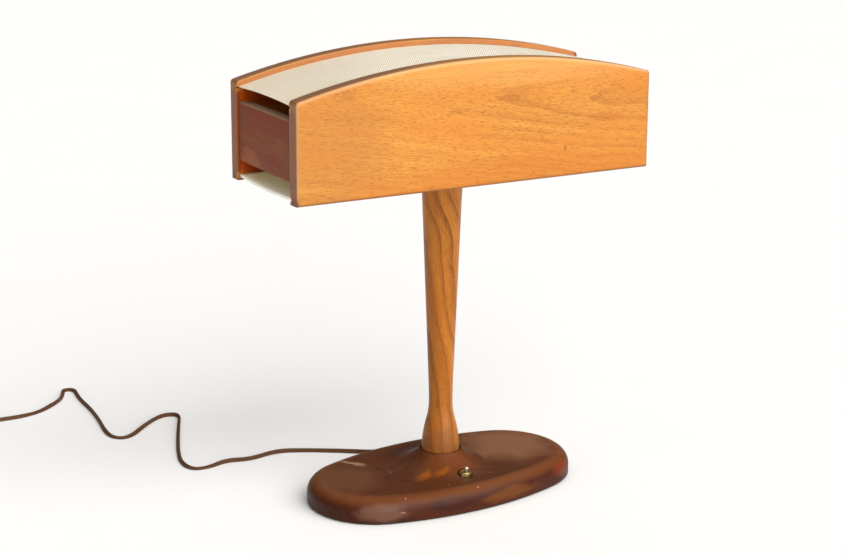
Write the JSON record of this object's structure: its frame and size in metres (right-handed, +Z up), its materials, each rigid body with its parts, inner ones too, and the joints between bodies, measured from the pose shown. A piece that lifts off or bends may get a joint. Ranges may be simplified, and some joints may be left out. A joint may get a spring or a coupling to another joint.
{
  "type": "desk lamp",
  "caption": "Desk lamp with a long arched wooden shade over translucent sheets, a turned post, an oval wooden base, a toggle switch and a twin cord.",
  "frame": {"origin": "on the table under the axis of the post", "axes": "+Z up, +X along the shade towards its right end seen from the front, -Y towards the front with the toggle"},
  "size_m": [0.769, 0.6266, 0.505],
  "materials": {
    "side_board_walnut": "oiled walnut, satin",
    "end_board_walnut": "oiled walnut, satin",
    "post_walnut": "turned oiled walnut, satin",
    "base_walnut": "oiled dark walnut, satin",
    "hidden_hardwood": "plain sanded",
    "linen_laminate": "matte, linen weave between two films",
    "frosted_acrylic": "matte translucent",
    "cast_iron": "as cast",
    "zinc_steel": "zinc plated",
    "green_felt": "pressed wool felt",
    "glazed_porcelain": "white glaze",
    "sheet_brass": "bright",
    "nickel_brass": "nickel plated",
    "frosted_glass": "frosted inside",
    "lead_pvc": "smooth",
    "phenolic": "moulded",
    "aged_brass": "dulled by age",
    "brown_nylon": "moulded",
    "brown_cord_pvc": "smooth, a little gloss",
    "brown_plug_pvc": "moulded"
  },
  "bodies": {
    "lamp": {"front_board": "side_board_walnut", "rear_board": "side_board_walnut", "left_end_board": "end_board_walnut", "right_end_board": "end_board_walnut", "post": "post_walnut", "base": "base_walnut", "bridge_block": "hidden_hardwood", "end_board_dowels": "hidden_hardwood", "bridge_dowels": "hidden_hardwood", "left_ballast": "cast_iron", "right_ballast": "cast_iron", "ballast_screws": "zinc_steel", "felt_pad": "green_felt", "lamp_pipe": "zinc_steel", "low_washer": "zinc_steel", "top_washer": "zinc_steel", "low_nut": "zinc_steel", "top_nut": "zinc_steel", "lamp_bracket": "zinc_steel", "left_lampholder": "glazed_porcelain", "right_lampholder": "glazed_porcelain", "left_screw_shell": "sheet_brass", "right_screw_shell": "sheet_brass", "left_lamp_cap": "nickel_brass", "right_lamp_cap": "nickel_brass", "left_lamp_glass": "frosted_glass", "right_lamp_glass": "frosted_glass", "left_lamp_lead": "lead_pvc", "right_lamp_lead": "lead_pvc", "switch_leads": "lead_pvc", "switch_body": "phenolic", "terminal_block": "phenolic", "switch_neck": "aged_brass", "switch_ring": "aged_brass", "switch_nut": "aged_brass", "cord_bushing": "brown_nylon", "cord_tail": "brown_cord_pvc", "power_cord": "brown_cord_pvc", "cord_coil": "brown_cord_pvc", "cord_tie": "brown_nylon", "plug_body": "brown_plug_pvc", "plug_blades": "nickel_brass"},
    "top_sheet": {"top_diffuser": "linen_laminate"},
    "left_low_sheet": {"left_low_diffuser": "frosted_acrylic"},
    "right_low_sheet": {"right_low_diffuser": "frosted_acrylic"},
    "toggle": {"toggle_lever": "aged_brass"}
  },
  "joints": [
    {"name": "top_sheet_slide", "type": "hinge", "parent": "lamp", "child": "top_sheet", "pos_m": [0, 0, -0.31391], "axis": [0, 1, 0], "range_deg": [-24, 24]},
    {"name": "left_low_sheet_slide", "type": "slide", "parent": "lamp", "child": "left_low_sheet", "axis": [-1, 0, 0], "range_m": [0, 0.19]},
    {"name": "right_low_sheet_slide", "type": "slide", "parent": "lamp", "child": "right_low_sheet", "axis": [1, 0, 0], "range_m": [0, 0.19]},
    {"name": "toggle_flip", "type": "hinge", "parent": "lamp", "child": "toggle", "pos_m": [0.00356, -0.05088, 0.027], "axis": [-0.9976, -0.0698, 0], "range_deg": [0, 24]}
  ]
}
